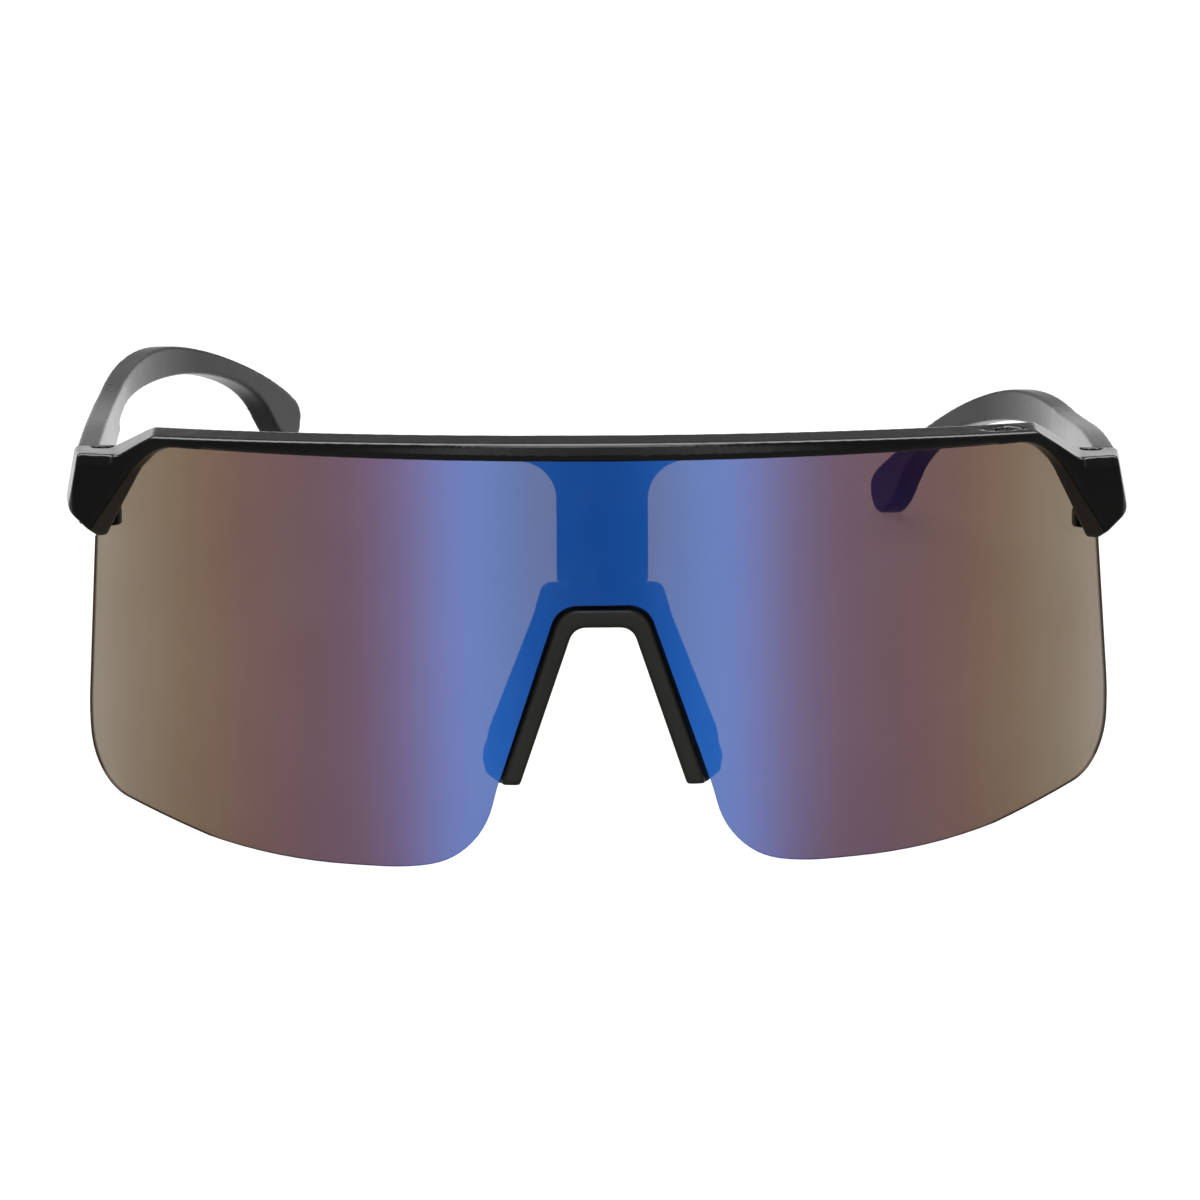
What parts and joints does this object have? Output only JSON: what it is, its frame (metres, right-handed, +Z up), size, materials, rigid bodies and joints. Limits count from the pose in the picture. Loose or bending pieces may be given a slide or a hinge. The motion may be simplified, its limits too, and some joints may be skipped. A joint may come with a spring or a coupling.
{
  "type": "wraparound sport sunglasses",
  "caption": "Half-rim wraparound sunglasses with a one-piece mirrored shield lens, a nose bracket with soft pads and folding temples.",
  "frame": {"origin": "centre of the footprint box, on the surface the glasses stand on", "axes": "+Z up, the lens faces -Y, the temples run back along +Y and +X is the wearer's left"},
  "size_m": [0.1488, 0.1526, 0.059],
  "materials": {
    "frame_gloss_black": "gloss black moulded nylon",
    "lens_mirror": "mirror-coated tinted polycarbonate, blue in the middle through purple to bronze grey at the sides",
    "nose_matte_olive": "matte dark olive moulding",
    "pad_rubber": "soft matte rubber",
    "temple_matte_black": "matte to satin black moulding",
    "screw_steel": "dark plated steel",
    "insert_brass": "plain brass",
    "washer_nylon": "thin nylon"
  },
  "bodies": {
    "front": {"brow_frame": "frame_gloss_black", "shield_lens": "lens_mirror", "nose_bracket": "nose_matte_olive", "nose_pad_left": "pad_rubber", "nose_pad_right": "pad_rubber", "hinge_screw_left": "screw_steel", "hinge_insert_left": "insert_brass", "hinge_washers_left": "washer_nylon", "hinge_screw_right": "screw_steel", "hinge_insert_right": "insert_brass", "hinge_washers_right": "washer_nylon"},
    "left_temple": {"temple_left": "temple_matte_black"},
    "right_temple": {"temple_right": "temple_matte_black"}
  },
  "joints": [
    {"name": "left_temple_fold", "type": "hinge", "parent": "front", "child": "left_temple", "pos_m": [0.06866, -0.03928, 0.0413], "axis": [0.0087, 0.1915, 0.9815], "range_deg": [0, 84]},
    {"name": "right_temple_fold", "type": "hinge", "parent": "front", "child": "right_temple", "pos_m": [-0.06872, -0.03882, 0.04365], "axis": [-0.0087, -0.1915, -0.9815], "range_deg": [0, 75]}
  ]
}
